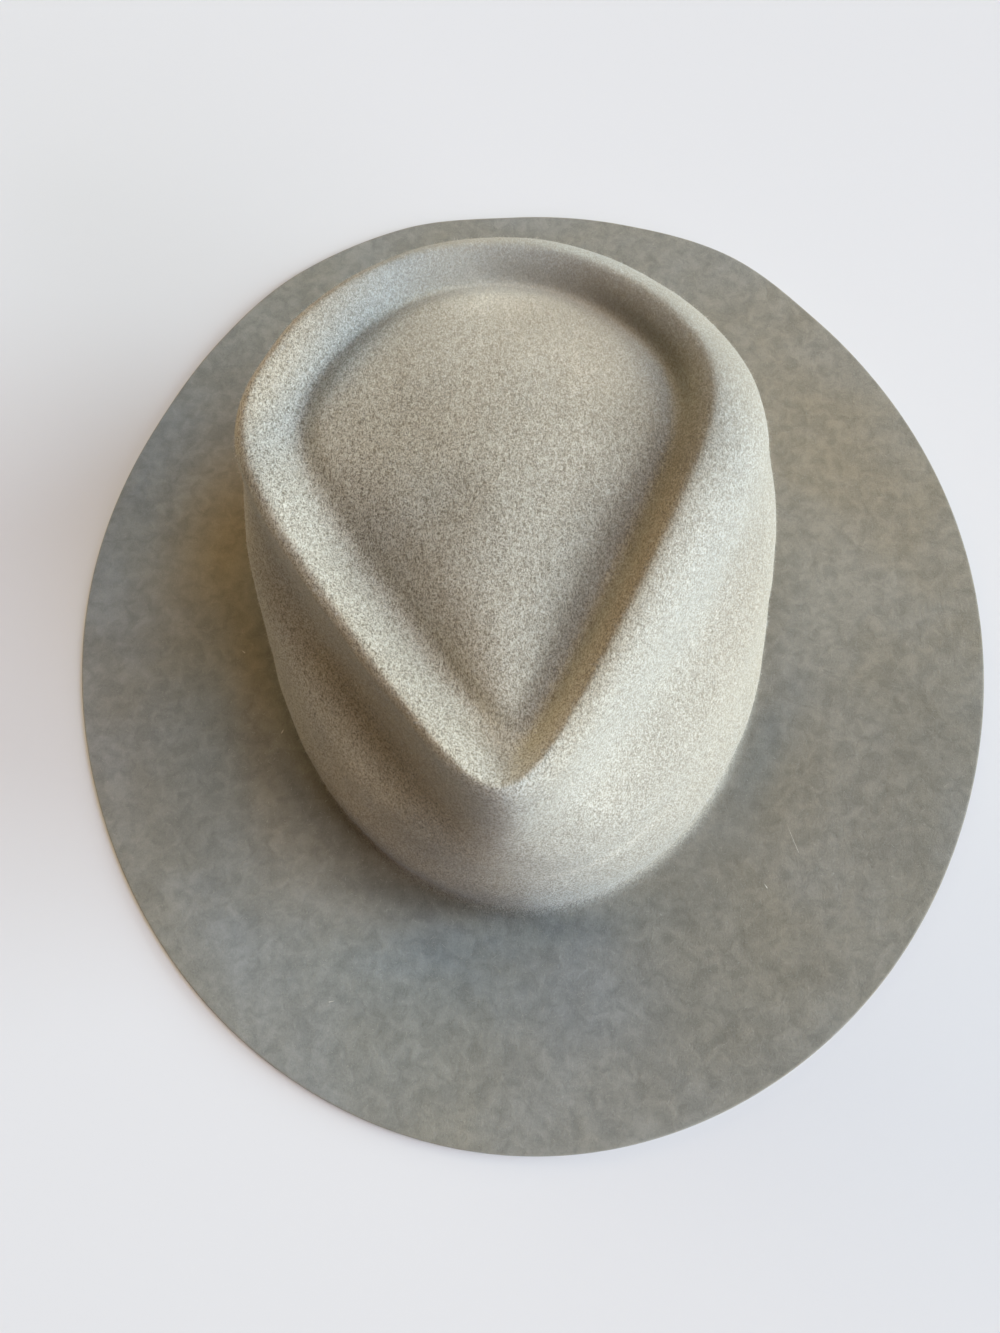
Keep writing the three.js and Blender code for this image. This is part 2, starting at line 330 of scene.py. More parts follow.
@dataclass(frozen=True)
class FeltShape:
    """The hat's outer face as a function of bearing and of the way along the felt."""

    sizes: HatSizes

    def ring_reach(self, bearing: np.ndarray) -> np.ndarray:
        """Reach of every ring: an oval whose front is cut by two straight flanks.

        The oval and the two flank lines are joined by a sum of inverse powers, so that a
        high power keeps their corners crisp. The oval's front length is the one that
        makes the joined curve pass the ring's nose reach.

        Args:
            bearing: Bearings from the nose in degrees.

        Returns:
            Reach in metres, rings by bearings.
        """
        s = self.sizes
        rows = np.array([[r.nose * s.crown_length, r.right * s.crown_width,
                          r.left * s.crown_width, r.side * s.crown_width,
                          r.back * s.crown_length] for r in RINGS])
        nose, right, left, side, back = (rows / 2).T[:, :, None]
        turn = np.radians(bearing)[None, :]
        lean = np.radians([r.lean for r in RINGS])[:, None]
        skew = np.radians([r.skew for r in RINGS])[:, None]
        power = s.corner
        cut = (np.cos(lean) / right) ** power + (np.cos(lean + skew) / left) ** power
        front = np.maximum(nose ** -power - cut, (4 * nose) ** -power) ** (-1 / power)
        along = np.where(np.cos(turn) > 0, front, back)
        oval = np.hypot(np.sin(turn) / side, np.cos(turn) / along)
        one = np.maximum(np.cos(turn - lean), 0) / right
        two = np.maximum(np.cos(turn + lean + skew), 0) / left
        return (oval ** power + one ** power + two ** power) ** (-1 / power)

    def ring_rise(self, bearing: np.ndarray) -> np.ndarray:
        """Height of every ring above the foot, smooth through its four stations.

        Args:
            bearing: Bearings from the nose in degrees.

        Returns:
            Rise in metres, rings by bearings.
        """
        stations = np.array([0.0, self.sizes.flank_bearing, 100.0, 180.0])
        value = np.array([[r.z_nose, r.z_flank, r.z_side, r.z_back] for r in RINGS]).T
        slope = gentle_slopes(stations, value)
        slope[0] = slope[-1] = 0.0
        return self.sizes.crown_rise * cubic_through(np.abs(bearing), stations, value, slope).T

    def edge_reach(self, bearing: np.ndarray) -> np.ndarray:
        """Reach of the cut edge: an oval with a longer front, times the cut's share.

        Args:
            bearing: Bearings from the front in degrees.

        Returns:
            Reach in metres.
        """
        rows = np.array(EDGE_CUT)
        at = np.concatenate([rows[-2:, 0] - 360, rows[:, 0], rows[:2, 0] + 360])
        value = np.concatenate([rows[-2:, 1], rows[:, 1], rows[:2, 1]])
        cut = cubic_through(bearing, at, value, gentle_slopes(at, value))
        turn = np.radians(bearing)
        along = np.where(np.abs(bearing) < 90, self.sizes.brim_front, self.sizes.brim_back)
        return cut / np.hypot(np.sin(turn) / (self.sizes.brim_width / 2), np.cos(turn) / along)

    def crown_points(self, bearing: np.ndarray, reach: np.ndarray, rise: np.ndarray,
                     twist: np.ndarray | float = 0.0,
                     offset: np.ndarray | float = 0.0) -> np.ndarray:
        """Puts ring points in place round the crown's axis, which drifts as it rises.

        Args:
            bearing: Bearings in degrees, one for each column.
            reach: Distance from the axis, rings by columns.
            rise: Height above the foot, rings by columns.
            twist: How far each ring is turned, in degrees.
            offset: How far each ring sits off the axis, in metres.

        Returns:
            Points, rings by columns by three.
        """
        s = self.sizes
        share = rise / s.crown_rise
        turn = np.radians(bearing[None, :] - twist)
        return np.stack([
            s.foot_x + s.top_shift_x * share + offset + reach * np.sin(turn),
            s.foot_y + s.top_shift_y * share - reach * np.cos(turn),
            s.crown_foot + rise,
        ], axis=-1)

    def outer_face(self, bearing: np.ndarray, steps: int,
                   brim_steps: int) -> tuple[np.ndarray, np.ndarray]:
        """The outer face from next to the pole out to the edge.

        Each column runs through its rings on cubics measured along the felt, is relaxed a
        little so that its bends flow, turns out through a quarter circle at the foot and
        goes straight on to the cut edge.

        Args:
            bearing: Bearings in degrees.
            steps: Points between two rings.
            brim_steps: Points from the break to the edge.

        Returns:
            Points, rings by columns by three, and each ring's station: 1 to 12 on the
            crown as in RINGS, 13 at the break's end, 14 at the edge.
        """
        s = self.sizes
        centre = np.zeros((1, len(bearing)))
        reach = np.concatenate([centre, self.ring_reach(bearing)])
        rise = np.concatenate([centre + s.pole_rise * s.crown_rise, self.ring_rise(bearing)])
        gap = np.hypot(np.diff(reach, axis=0), np.diff(rise, axis=0))
        along = np.concatenate([centre, np.cumsum(gap, axis=0)])
        u = (np.arange(1, steps + 1) / steps)[None, :, None]
        first = RINGS[0]
        twist = np.array([first.turn] + [r.turn for r in RINGS])[:, None] + centre
        offset = (np.array([first.across] + [r.across for r in RINGS])[:, None] + centre
                  ) * s.crown_width / 2
        curves = []
        for value in (reach, rise, twist, offset):
            slope = gentle_slopes(along, value)
            if value is not reach:
                slope[0] = 0.0
            curve = ((1 + 2 * u) * (1 - u) ** 2 * value[:-1, None]
                     + u * (1 - u) ** 2 * gap[:, None] * slope[:-1, None]
                     + u * u * (3 - 2 * u) * value[1:, None]
                     + u * u * (u - 1) * gap[:, None] * slope[1:, None])
            curves.append(self.relaxed(curve.reshape(-1, len(bearing)), value[:1]))
        station = (np.arange(len(RINGS))[:, None] + u[0, :, 0]).ravel()
        crown = self.crown_points(bearing, *curves)
        quarter = np.linspace(0, math.pi / 2, 9)[1:, None]
        out = reach[-1] + s.break_radius * (1 - np.cos(quarter))
        root = self.crown_points(bearing, out, 0 * out - s.break_radius * np.sin(quarter))
        turn = np.radians(bearing)
        edge = self.edge_reach(bearing)[:, None] * np.stack([np.sin(turn), -np.cos(turn)], -1)
        share = (np.arange(1, brim_steps + 1) / brim_steps)[:, None, None]
        flat = root[-1:, :, :2] + (edge[None] - root[-1:, :, :2]) * share
        brim = np.concatenate([flat, np.full(flat.shape[:2] + (1,), s.felt)], axis=-1)
        station = np.concatenate([station, 12 + quarter[:, 0] / (math.pi / 2),
                                  13 + share[:, 0, 0]])
        return np.concatenate([crown, root, brim]), station

    @staticmethod
    def relaxed(curve: np.ndarray, start: np.ndarray, passes: int = 5) -> np.ndarray:
        """Averages each point with its neighbours along the column, ends kept."""
        padded = np.concatenate([start, curve])
        for _ in range(passes):
            padded[1:-1] = padded[1:-1] / 2 + (padded[:-2] + padded[2:]) / 4
        return padded[1:]


def face_normals(grid: np.ndarray) -> np.ndarray:
    """Unit normals of a closed-round grid, rings by columns, pointing off the felt.

    Args:
        grid: Points, rings by columns by three.

    Returns:
        Unit normals in the same layout.
    """
    round_way = np.roll(grid, -1, axis=1) - np.roll(grid, 1, axis=1)
    down_way = np.gradient(grid, axis=0)
    normal = np.cross(down_way, round_way)
    return normal / np.maximum(np.linalg.norm(normal, axis=-1, keepdims=True), 1e-12)


def patch_sum(points: np.ndarray, patches: Sequence[Patch], sizes: HatSizes) -> np.ndarray:
    """Adds up soft patches at points seen from above.

    Each patch is its amount times a bell curve of the distances along and across it.

    Args:
        points: Points, the last axis holding x, y and z.
        patches: The patches.
        sizes: The hat's sizes.

    Returns:
        One value for each point.
    """
    half_wide, half_long = sizes.crown_width / 2, sizes.crown_length / 2
    total = np.zeros(points.shape[:-1])
    for patch in patches:
        turn = math.radians(patch.turn)
        x = points[..., 0] - patch.x * half_wide
        y = points[..., 1] - patch.y * half_long
        along = (x * math.cos(turn) + y * math.sin(turn)) / (patch.along * half_wide)
        across = (y * math.cos(turn) - x * math.sin(turn)) / (patch.across * half_wide)
        total += patch.amount * np.exp(-(along ** 2 + across ** 2) / 2)
    return total


# Mesh helpers

def mesh_object(name: str, points: np.ndarray, faces: Sequence[np.ndarray],
                smooth: bool = True) -> bpy.types.Object:
    """Makes a mesh object at the origin from points and arrays of faces.

    Args:
        name: Name of the piece.
        points: Points, n by three.
        faces: Arrays of point numbers, each with faces of one size.
        smooth: Whether the faces are shaded smooth.

    Returns:
        The linked object.
    """
    mesh = bpy.data.meshes.new(name)
    loops = np.concatenate([f.ravel() for f in faces]).astype(np.int32)
    sizes = np.concatenate([np.full(len(f), f.shape[1]) for f in faces]).astype(np.int32)
    mesh.vertices.add(len(points))
    mesh.vertices.foreach_set("co", points.astype(np.float32).ravel())
    mesh.loops.add(len(loops))
    mesh.loops.foreach_set("vertex_index", loops)
    mesh.polygons.add(len(sizes))
    mesh.polygons.foreach_set("loop_start", np.concatenate([[0], np.cumsum(sizes)[:-1]]))
    mesh.polygons.foreach_set("use_smooth", np.full(len(sizes), smooth))
    mesh.update(calc_edges=True)
    mesh.validate()
    made = bpy.data.objects.new(name, mesh)
    bpy.context.scene.collection.objects.link(made)
    return made


def point_value(made: bpy.types.Object, name: str, value: np.ndarray) -> None:
    """Stores one number for each point of a piece, for its material to read."""
    layer = made.data.attributes.new(name, "FLOAT", "POINT")
    layer.data.foreach_set("value", np.ascontiguousarray(value, dtype=np.float32))


# Felt body

@dataclass
class FeltBody:
    """Crown and brim, one closed wall of felt with a softly rounded cut edge."""

    shape: FeltShape
    columns: int = 480
    steps: int = 9
    brim_steps: int = 44
    crowding: float = 0.35
    unevenness: float = 0.00022
    brim_lift: float = 0.0005
    centre: np.ndarray = field(default_factory=lambda: np.zeros(3))

    def bearings(self, columns: int) -> np.ndarray:
        """Bearings in degrees, closer together at the nose."""
        turn = 2 * math.pi * np.arange(columns) / columns - math.pi
        return np.degrees(turn - self.crowding * np.sin(turn))

    def outer(self) -> tuple[np.ndarray, np.ndarray]:
        """The outer face in place, with its gentle unevenness.

        The felt moves along its normal by a few tenths of a millimetre of soft waves, and
        the brim lifts in long low waves towards its edge.

        Returns:
            Points and stations of the rings.
        """
        grid, station = self.shape.outer_face(self.bearings(self.columns), self.steps,
                                              self.brim_steps)
        self.centre = np.array([(grid[..., 0].max() + grid[..., 0].min()) / 2,
                                (grid[..., 1].max() + grid[..., 1].min()) / 2, 0.0])
        grid = grid - self.centre
        normal = face_normals(grid)
        fade = 1 - smooth_step(11.5, 13.0, station)[:, None]
        wave = soft_waves(grid, 0.045, 11) * self.unevenness * fade
        grid = grid + normal * wave[..., None]
        out = smooth_step(13.0, 14.0, station)[:, None]
        grid[..., 2] += self.brim_lift * out * (1 + soft_waves(grid, 0.30, 5)) / 2
        return grid, station

    def build(self) -> bpy.types.Object:
        """Builds the closed wall: outer face, rounded edge, inner face and two poles.

        Returns:
            The piece.
        """
        s = self.shape.sizes
        outer, station = self.outer()
        normal = face_normals(outer)
        normal[station >= 13.0] = (0.0, 0.0, 1.0)
        inner = outer - s.felt * normal
        way_out = outer[-1] - outer[-2]
        way_out /= np.linalg.norm(way_out, axis=-1, keepdims=True)
        turn = np.linspace(0, math.pi, 9)[:, None, None]
        middle = outer[-1] - way_out * s.edge_round - np.array([0, 0, s.felt / 2])
        rim = (middle + way_out * s.edge_round * np.sin(turn) ** 0.6
               + np.array([0, 0, s.felt / 2]) * np.sign(np.cos(turn))
               * np.abs(np.cos(turn)) ** 0.6)
        keep = station < station[-1] - 0.012
        outer, inner, on = outer[keep], inner[keep], station[keep]
        under = inner[::-1][::2]
        rings = np.concatenate([outer, rim, under])
        top = self.pole()
        points = np.concatenate([rings.reshape(-1, 3), [top], [top - [0, 0, s.felt]]])
        count, around = rings.shape[:2]
        i = np.arange(count - 1)[:, None] * around
        j = np.arange(around)[None, :]
        nxt = (j + 1) % around
        quads = np.stack([i + j, i + around + j, i + around + nxt, i + nxt], -1)
        first, last = j[0], (count - 1) * around + j[0]
        caps = [np.stack([np.full(around, count * around), first, nxt[0]], -1),
                np.stack([np.full(around, count * around + 1), (count - 1) * around + nxt[0],
                          last], -1)]
        made = mesh_object("felt_hat", points, [quads.reshape(-1, 4), *caps])
        along = np.concatenate([on, 14.0 + np.linspace(0, 1, len(rim)), 29 - on[::-1][::2]])
        self.paint(made, np.repeat(along, around), points,
                   np.tile(self.bearings(self.columns), count))
        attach(made, "root")
        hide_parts("felt_body")
        return made

    def pole(self) -> np.ndarray:
        """The middle of the crown's top."""
        s = self.shape.sizes
        rise = np.full((1, 1), s.pole_rise * s.crown_rise)
        return self.shape.crown_points(np.zeros(1), 0 * rise, rise)[0, 0] - self.centre

    def paint(self, made: bpy.types.Object, along: np.ndarray, points: np.ndarray,
              bearing: np.ndarray) -> None:
        """Stores where the felt is crown, brim or cut edge, its grain, and its painted
        light and shade and painted light colour.

        Args:
            made: The felt piece.
            along: Station of each ring point; 0 to 14 outside, 14 to 15 the edge,
                15 to 29 inside.
            points: All points, the two poles last.
            bearing: Bearing of each ring point in degrees.
        """
        along = np.concatenate([along, [0.0, 29.0]])
        bearing = np.concatenate([bearing, [0.0, 0.0]])
        outside = np.where(along > 14.5, 29 - along, along)
        top = 1 - smooth_step(14.9, 15.0, along)
        # Painted highlight: lighter along the bend at the ledge ring, towards the front right.
        ledge = np.exp(-((outside - 10.0) / 0.12) ** 2 - ((bearing - 17) / 15) ** 2)
        # Painted shade: darker in the crease where the crown turns out into the brim.
        crease_shade = np.exp(-((outside - 12.7) / 0.45) ** 2)
        painted_light_stops = patch_sum(points, PAINTED_LIGHT_AND_SHADE, self.shape.sizes) + 0.30 * ledge - 0.35 * crease_shade
        point_value(made, "crown", 1 - smooth_step(12.0, 13.2, outside))
        point_value(made, "cut_edge", smooth_step(14.0, 14.25, along)
                    * (1 - smooth_step(14.75, 15.0, along)))
        # Painted light and shade in stops, then painted light colour: greyer for cool light, browner for
        # warm shade.
        point_value(made, "painted_light_stops", painted_light_stops * top)
        point_value(made, "cast", patch_sum(points, PAINTED_LIGHT_COLOUR, self.shape.sizes) * top)
        sideways = points[:, 0] / (self.shape.sizes.crown_width / 2)
        behind = np.maximum(points[:, 1] / (self.shape.sizes.crown_length / 2) - 0.15, 0)
        point_value(made, "grain", np.clip(1.4 - 0.6 * sideways - 1.8 * behind, 0.4, 1.7))


# Loose fibres

@dataclass
class Nap:
    """The short hairs that stand off the felt and soften its outline."""

    grid: np.ndarray
    station: np.ndarray
    sizes: HatSizes
    count: int = 60000
    seed: int = 3

    def build(self) -> bpy.types.Object:
        """Scatters bent blades over the outer face.

        A hair starts on a random grid cell, chosen by the cell's area, leans out from
        the felt by a random angle along a random tangent, and narrows to its tip.

        Returns:
            The piece.
        """
        random = np.random.default_rng(self.seed)
        normal = face_normals(self.grid)
        round_way = np.roll(self.grid, -1, axis=1) - self.grid
        down_way = np.gradient(self.grid, axis=0)
        area = np.linalg.norm(np.cross(round_way, down_way), axis=-1)
        crown = 1 - smooth_step(11.8, 13.0, self.station)[:, None]
        weight = (area * (0.25 + 0.75 * crown))[:-2].ravel()
        pick = random.choice(len(weight), self.count, p=weight / weight.sum())
        i, j = np.divmod(pick, self.grid.shape[1])
        u, v = random.uniform(size=(2, self.count, 1))
        root = self.grid[i, j] + u * round_way[i, j] + v * down_way[i, j]
        up = normal[i, j]
        side = round_way[i, j] / np.linalg.norm(round_way[i, j], axis=-1, keepdims=True)
        along = np.cross(up, side)
        spin = random.uniform(0, 2 * math.pi, (self.count, 1))
        lie = side * np.cos(spin) + along * np.sin(spin)
        lift = np.radians(random.uniform(8, 42, (self.count, 1)))
        way = lie * np.cos(lift) + up * np.sin(lift)
        length = random.uniform(0.0007, 0.0019, (self.count, 1))
        half = random.uniform(0.000018, 0.00003, (self.count, 1)) * np.cross(up, lie)
        curl = random.uniform(-0.25, 0.2, (self.count, 1))
        points = self.blades(root, up, way, length, half, curl)
        base = 5 * np.arange(self.count + len(STRAYS))[:, None]
        points = np.concatenate([points, self.strays(normal)])
        made = mesh_object("felt_nap", points, [base + np.array([0, 1, 2, 3]),
                                                base + np.array([3, 2, 4])])
        on_crown = np.broadcast_to(crown, self.grid.shape[:2])[i, j]
        on_crown = np.concatenate([on_crown, np.ones(len(STRAYS))])
        point_value(made, "crown", np.repeat(on_crown, 5))
        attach(made, "root")
        return made

    @staticmethod
    def blades(root: np.ndarray, up: np.ndarray, way: np.ndarray, length: np.ndarray,
               half: np.ndarray, curl: np.ndarray) -> np.ndarray:
        """Lays out bent blades, five points each: two at the root and knee, one tip.

        Args:
            root: Where each blade starts.
            up: The felt's outward normal there.
            way: The way each blade leans.
            length: Length of each blade.
            half: Half its width, as a vector across it.
            curl: How far the tip bends up, as a share of the length.

        Returns:
            The points, five in a row for each blade.
        """
        knee = root + way * length * 0.55
        tip = knee + (way * 0.45 + up * curl) * length
        return np.stack([root - half, root + half, knee + half * 0.8, knee - half * 0.8,
                         tip], axis=1).reshape(-1, 3)

    def strays(self, normal: np.ndarray) -> np.ndarray:
        """Lays the loose fibres on the felt nearest to their places seen from above.

        Args:
            normal: The felt's outward normals on the grid.

        Returns:
            The points, five in a row for each fibre.
        """
        place = np.array([(f.x * self.sizes.crown_width / 2, f.y * self.sizes.crown_length / 2)
                          for f in STRAYS])
        turn = np.radians([f.turn for f in STRAYS])
        flat = self.grid.reshape(-1, 3)
        away = np.linalg.norm(flat[None, :, :2] - place[:, None], axis=-1)
        near = np.argmin(away, axis=1)
        up = normal.reshape(-1, 3)[near]
        lie = np.stack([np.cos(turn), np.sin(turn), np.zeros(len(turn))], axis=1)
        lie -= up * (lie * up).sum(axis=1, keepdims=True)
        length = np.array([f.length for f in STRAYS])[:, None]
        half = 0.00011 * np.cross(up, lie) * np.sqrt(0.002 / length)
        return self.blades(flat[near] + up * 0.0006, up, lie, length, half,
                           np.full((len(turn), 1), 0.05))


# Materials

class Finish(Enum):
    """Names of the finishes."""

    FELT = "wool_felt"
    HAIR = "felt_hair"
    FLOOR = "pale_floor"


class Nodes:
    """Small helper that places and joins the nodes of one tree."""

    def __init__(self, tree: bpy.types.NodeTree) -> None:
        """Keeps the tree to work in."""
        self.tree = tree

    def add(self, kind: str, **values: object) -> bpy.types.Node:
        """Adds a node and sets its own properties."""
        node = self.tree.nodes.new(kind)
        for name, value in values.items():
            setattr(node, name, value)
        return node

    def join(self, start: bpy.types.NodeSocket, end: bpy.types.NodeSocket) -> None:
        """Joins two sockets."""
        self.tree.links.new(start, end)

    def feed(self, socket: bpy.types.NodeSocket, value: object) -> None:
        """Joins a socket to the input, or sets the input to a plain value."""
        if isinstance(value, bpy.types.NodeSocket):
            self.join(value, socket)
        else:
            socket.default_value = value

    def math(self, operation: str, *values: object, clamp: bool = False) -> bpy.types.NodeSocket:
        """One step of arithmetic on numbers or sockets."""
        node = self.add("ShaderNodeMath", operation=operation, use_clamp=clamp)
        for socket, value in zip(node.inputs, values):
            self.feed(socket, value)
        return node.outputs[0]

    def blend(self, share: object, low: object, high: object,
              kind: str = "MIX") -> bpy.types.NodeSocket:
        """Blends two colours by a share."""
        node = self.add("ShaderNodeMix", data_type="RGBA", blend_type=kind)
        self.feed(node.inputs[0], share)
        self.feed(node.inputs[6], low)
        self.feed(node.inputs[7], high)
        return node.outputs[2]

    def noise(self, place: bpy.types.NodeSocket, scale: float, detail: float = 2.0,
              rough: float = 0.5, swirl: float = 0.0) -> bpy.types.NodeSocket:
        """Noise of a given scale at a place."""
        node = self.add("ShaderNodeTexNoise")
        self.join(place, node.inputs["Vector"])
        node.inputs["Scale"].default_value = scale
        node.inputs["Detail"].default_value = detail
        node.inputs["Roughness"].default_value = rough
        node.inputs["Distortion"].default_value = swirl
        return node.outputs["Fac"]

    def spread(self, value: bpy.types.NodeSocket, low: float, high: float,
               to_low: float = 0.0, to_high: float = 1.0) -> bpy.types.NodeSocket:
        """Stretches a stretch of values to another, held at its ends."""
        node = self.add("ShaderNodeMapRange", clamp=True)
        for socket, number in zip(node.inputs, (value, low, high, to_low, to_high)):
            self.feed(socket, number)
        return node.outputs[0]

    def turned(self, place: bpy.types.NodeSocket, angles: tuple[float, float, float],
               scale: tuple[float, float, float]) -> bpy.types.NodeSocket:
        """Turns and stretches a place, for a pattern with a direction."""
        node = self.add("ShaderNodeMapping")
        self.join(place, node.inputs["Vector"])
        node.inputs["Rotation"].default_value = angles
        node.inputs["Scale"].default_value = scale
        return node.outputs[0]

    def shade(self, colour: bpy.types.NodeSocket,
              value: bpy.types.NodeSocket) -> bpy.types.NodeSocket:
        """Makes a colour lighter or darker by a factor."""
        node = self.add("ShaderNodeHueSaturation")
        self.join(colour, node.inputs["Color"])
        self.join(value, node.inputs["Value"])
        return node.outputs["Color"]

    def attribute(self, name: str) -> bpy.types.NodeSocket:
        """Reads a number stored on the piece."""
        return self.add("ShaderNodeAttribute", attribute_name=name).outputs["Fac"]


def fibre_group() -> bpy.types.NodeTree:
    """Builds the group of matted fibres, once.

    Three swirled noises, each stretched along another direction, are folded about their
    middle value, so that thin winding strands show where they cross it; the brightest of
    the three counts. Output 0 to 1.

    Returns:
        The group, with inputs Place and Scale and the output Strands.
    """
    name = "matted_fibres"
    if name in bpy.data.node_groups:
        return bpy.data.node_groups[name]
    group = bpy.data.node_groups.new(name, "ShaderNodeTree")
    group.interface.new_socket("Place", in_out="INPUT", socket_type="NodeSocketVector")
    group.interface.new_socket("Scale", in_out="INPUT", socket_type="NodeSocketFloat")
    group.interface.new_socket("Strands", in_out="OUTPUT", socket_type="NodeSocketFloat")
    n = Nodes(group)
    start, end = n.add("NodeGroupInput"), n.add("NodeGroupOutput")
    strands: list[bpy.types.NodeSocket] = []
    for k, angle in enumerate((0.3, 1.35, 2.4)):
        place = n.turned(start.outputs["Place"], (0.35 * k, 0.25 - 0.3 * k, angle),
                         (1.0, 0.45, 0.7))
        noise = n.add("ShaderNodeTexNoise")
        n.join(place, noise.inputs["Vector"])
        n.join(start.outputs["Scale"], noise.inputs["Scale"])
        noise.inputs["Detail"].default_value = 2.0
        noise.inputs["Roughness"].default_value = 0.5
        noise.inputs["Distortion"].default_value = 0.9
        folded = n.math("ABSOLUTE", n.math("SUBTRACT", noise.outputs["Fac"], 0.5))
        strands.append(n.spread(folded, 0.0, 0.036, 1.0, 0.0))
    crossed = n.math("MAXIMUM", n.math("MAXIMUM", strands[0], strands[1]), strands[2])
    n.join(n.math("POWER", crossed, 2.4), end.inputs["Strands"])
    return group


def place_fibres(n: Nodes, place: bpy.types.NodeSocket, scale: float) -> bpy.types.NodeSocket:
    """Puts the group of matted fibres into a material.

    Args:
        n: The material's nodes.
        place: Where the pattern is read.
        scale: Strands to the metre.

    Returns:
        The strands, 0 to 1.
    """
    fibres = n.add("ShaderNodeGroup", node_tree=fibre_group())
    n.join(place, fibres.inputs["Place"])
    fibres.inputs["Scale"].default_value = scale
    return fibres.outputs["Strands"]


@dataclass(frozen=True)
class FeltFinish:
    """Napped wool felt: fawn-grey on the crown, darker olive-grey on the brim."""

    crown: tuple[float, float, float, float] = (0.293, 0.255, 0.184, 1.0)
    crown_dark: tuple[float, float, float, float] = (0.130, 0.108, 0.074, 1.0)
    crown_tip: tuple[float, float, float, float] = (0.610, 0.566, 0.448, 1.0)
    brim: tuple[float, float, float, float] = (0.226, 0.208, 0.160, 1.0)
    brim_grey: tuple[float, float, float, float] = (0.219, 0.212, 0.181, 1.0)
    # Cut edge: paler fibre ends, lightened further as a painted highlight along the rim.
    edge: tuple[float, float, float, float] = (0.300, 0.270, 0.205, 1.0)
    # Colours of painted light: cool light and warm shade.
    painted_cool_tint: tuple[float, float, float, float] = (0.84, 0.99, 1.20, 1.0)
    painted_warm_tint: tuple[float, float, float, float] = (1.14, 1.00, 0.80, 1.0)
    fleck_scale: float = 1500.0
    strand_scale: float = 1050.0
    mottle_scale: float = 210.0

    def make(self) -> bpy.types.Material:
        """Builds the material.

        Large soft clouds shift the tone between olive and grey, blotches a few
        millimetres wide mottle the brim, winding strands and fine flecks of light hair
        tips over a darker ground cover the crown, and the cut edge shows paler fibre
        ends, lightened further as a painted highlight along the rim. The piece's painted
        light and shade, in stops, and its painted light colour shift the whole.

        Returns:
            The material.
        """
        made = bpy.data.materials.new(Finish.FELT.value)
        made.use_nodes = True
        made.node_tree.nodes.clear()
        n = Nodes(made.node_tree)
        place = n.add("ShaderNodeTexCoord").outputs["Object"]
        crown, cut = n.attribute("crown"), n.attribute("cut_edge")
        strands = place_fibres(n, place, self.strand_scale)
        flecks = n.noise(place, self.fleck_scale, 2.0, 0.6, 0.3)
        clouds = n.noise(place, 14.0, 3.0, 0.55, 0.6)
        mottle = n.noise(place, self.mottle_scale, 2.0, 0.55, 0.6)
        grain = n.attribute("grain")
        dark = n.math("MULTIPLY", n.spread(flecks, 0.36, 0.56, 0.50, 0.0), grain)
        ground = n.blend(dark, self.crown, self.crown_dark)
        light = n.math("MULTIPLY", n.math("MULTIPLY", strands, 0.92), grain)
        ground = n.blend(light, ground, self.crown_tip)
        tips = n.math("MULTIPLY", n.spread(flecks, 0.54, 0.66, 0.0, 0.32), grain)
        ground = n.blend(tips, ground, self.crown_tip)
        flat = n.blend(n.spread(clouds, 0.38, 0.62), self.brim, self.brim_grey)
        shade = n.math("ADD", n.spread(mottle, 0.3, 0.7, -0.16, 0.16),
                       n.spread(flecks, 0.3, 0.7, -0.07, 0.07))
        shade = n.math("ADD", shade, n.spread(strands, 0.0, 1.0, -0.02, 0.07))
        flat = n.shade(flat, n.math("ADD", shade, 1.0))
        colour = n.blend(crown, flat, ground)
        # Cut edge: paler fibre ends, also a painted highlight along the rim.
        colour = n.blend(n.math("MULTIPLY", cut, 0.7), colour, self.edge)
        # Painted light and shade: lighter or darker by the stored stops.
        painted_light_factor = n.math("POWER", 2.0, n.attribute("painted_light_stops"))
        colour = n.shade(colour, n.math("MULTIPLY", painted_light_factor,
                                        n.spread(clouds, 0.3, 0.7, 0.93, 1.07)))
        # Painted light colour: greyer for cool light, browner for warm shade.
        tint = n.blend(n.spread(n.attribute("cast"), -1.0, 1.0), self.painted_warm_tint,
                       self.painted_cool_tint)
        colour = n.blend(1.0, colour, tint, "MULTIPLY")
        surface = n.add("ShaderNodeBsdfPrincipled")
        n.join(colour, surface.inputs["Base Color"])
        n.join(n.spread(strands, 0.0, 1.0, 0.98, 0.86), surface.inputs["Roughness"])
        surface.inputs["Specular IOR Level"].default_value = 0.18
        surface.inputs["Sheen Weight"].default_value = 0.22
        surface.inputs["Sheen Roughness"].default_value = 0.45
        surface.inputs["Sheen Tint"].default_value = (0.95, 0.92, 0.82, 1.0)
        height = n.math("ADD", n.math("MULTIPLY", flecks, 0.6),
                        n.math("MULTIPLY", strands, 0.4))
        height = n.math("ADD", height, n.math("MULTIPLY", mottle, 0.8))
        bump = n.add("ShaderNodeBump")
        bump.inputs["Strength"].default_value = 0.55
        bump.inputs["Distance"].default_value = 0.0004
        n.join(height, bump.inputs["Height"])
        n.join(bump.outputs["Normal"], surface.inputs["Normal"])
        out = n.add("ShaderNodeOutputMaterial")
        n.join(surface.outputs[0], out.inputs["Surface"])
        return made


